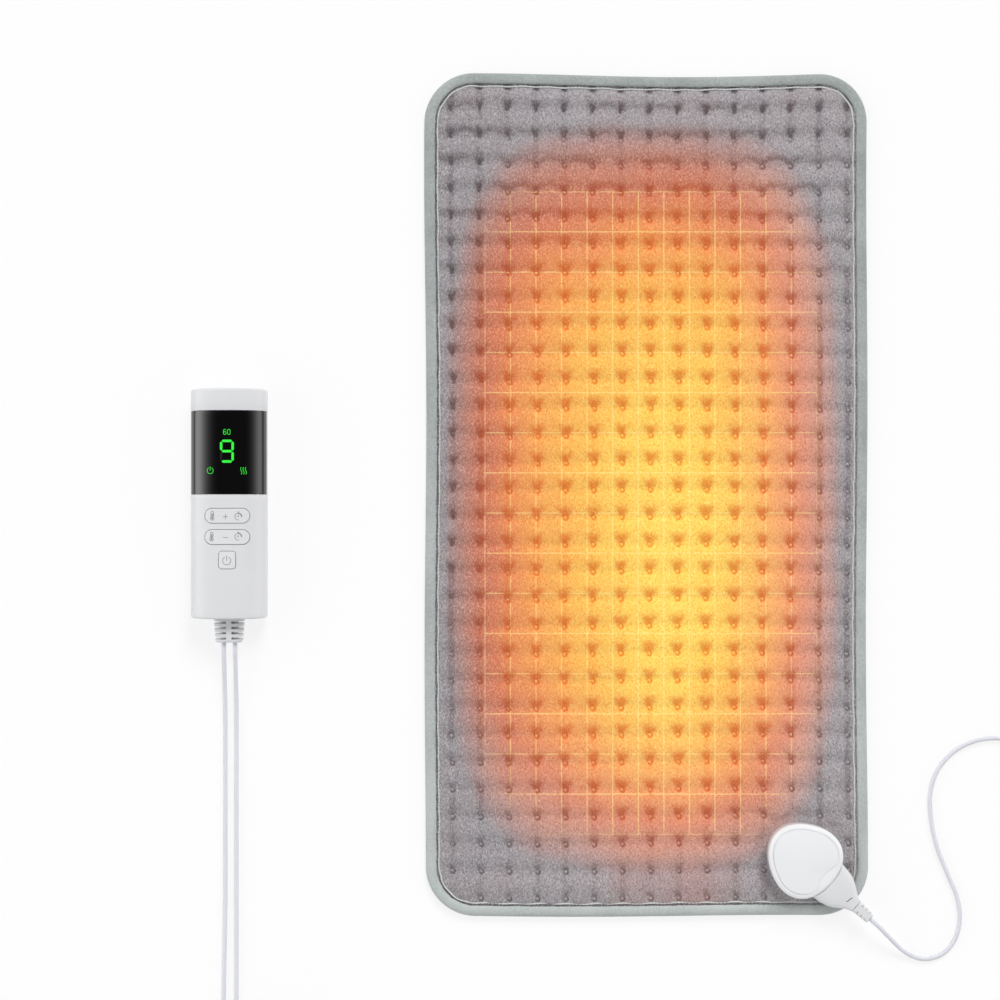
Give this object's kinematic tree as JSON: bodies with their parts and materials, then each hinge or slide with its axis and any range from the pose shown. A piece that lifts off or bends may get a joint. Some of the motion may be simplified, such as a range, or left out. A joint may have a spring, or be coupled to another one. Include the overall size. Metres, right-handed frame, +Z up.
{
  "type": "heating pad with controller",
  "caption": "Quilted electric heating pad with a pull-out corner connector, a hand controller with a display and keys, and a mains lead with a plug.",
  "frame": {"origin": "centre of the pad's underside", "axes": "+X across the pad towards the socket's side, +Y along the pad away from the socket's end, +Z up out of the quilted face"},
  "size_m": [0.6103, 0.7509, 0.0264],
  "materials": {
    "flannel": "mauve-grey napped flannel",
    "binding_tape": "grey-green woven tape",
    "felt": "plain felt",
    "heater_insulation": "silicone sleeve",
    "white_shell": "satin white moulding",
    "white_keys": "matt white moulding",
    "black_window": "polished black",
    "dark_plastic": "matt black",
    "grey_insulator": "matt grey",
    "circuit_board": "solder mask",
    "green_plastic": "matt green",
    "ochre_film": "dipped coating",
    "fuse_glass": "clear tube",
    "brass": "bright",
    "steel": "zinc plated",
    "white_cord": "smooth white sheath"
  },
  "bodies": {
    "pad": {"back_cover": "flannel", "felt_carrier": "felt", "heating_wire": "heater_insulation", "quilted_face": "flannel", "edge_binding": "binding_tape", "socket_base": "white_shell", "socket_cover": "white_shell", "heater_terminal_1": "brass", "heater_terminal_2": "brass", "socket_screw_1": "steel", "socket_screw_2": "steel", "terminal_board": "circuit_board", "pin_block": "dark_plastic", "socket_pin_1": "brass", "socket_pin_2": "brass", "socket_pin_3": "brass", "overheat_cutout": "dark_plastic"},
    "handset": {"plug_upper_shell": "white_shell", "plug_lower_shell": "white_shell", "plug_boot": "white_shell", "front_shell": "white_shell", "rear_shell": "white_shell", "twin_boot": "white_shell", "display_window": "black_window", "display_module": "dark_plastic", "switch_plus_left": "dark_plastic", "switch_plus_right": "dark_plastic", "switch_minus_left": "dark_plastic", "switch_minus_right": "dark_plastic", "switch_power": "dark_plastic", "triac": "dark_plastic", "coil_tie": "dark_plastic", "contact_block": "grey_insulator", "circuit_board": "circuit_board", "terminal_block": "green_plastic", "film_capacitor": "ochre_film", "fuse": "fuse_glass", "contact_sleeve_1": "brass", "contact_sleeve_2": "brass", "contact_sleeve_3": "brass", "mains_blade_1": "brass", "mains_blade_2": "brass", "case_screw_1": "steel", "case_screw_2": "steel", "case_screw_3": "steel", "case_screw_4": "steel", "pad_lead": "white_cord", "mains_lead": "white_cord", "mains_lead_coil": "white_cord", "mains_lead_tail": "white_cord", "mains_plug_boot": "white_cord", "mains_plug_body": "white_cord"},
    "plus_key": {"plus_rocker": "white_keys"},
    "minus_key": {"minus_rocker": "white_keys"},
    "power_button": {"power_key": "white_keys"}
  },
  "joints": [
    {"name": "plug_pull", "type": "slide", "parent": "pad", "child": "handset", "axis": [0.7431, -0.6691, 0], "range_m": [0, 0.022]},
    {"name": "plus_tilt", "type": "hinge", "parent": "handset", "child": "plus_key", "pos_m": [-0.2957, -0.0149, 0.02177], "axis": [0, 1, 0], "range_deg": [-2.5, 2.5], "stiffness_Nm_per_rad": 0.5},
    {"name": "minus_tilt", "type": "hinge", "parent": "handset", "child": "minus_key", "pos_m": [-0.2957, -0.0297, 0.02177], "axis": [0, 1, 0], "range_deg": [-2.5, 2.5], "stiffness_Nm_per_rad": 0.5},
    {"name": "power_press", "type": "slide", "parent": "handset", "child": "power_button", "axis": [0, 0, -1], "range_m": [0, 0.0008], "stiffness_N_per_m": 1200}
  ]
}
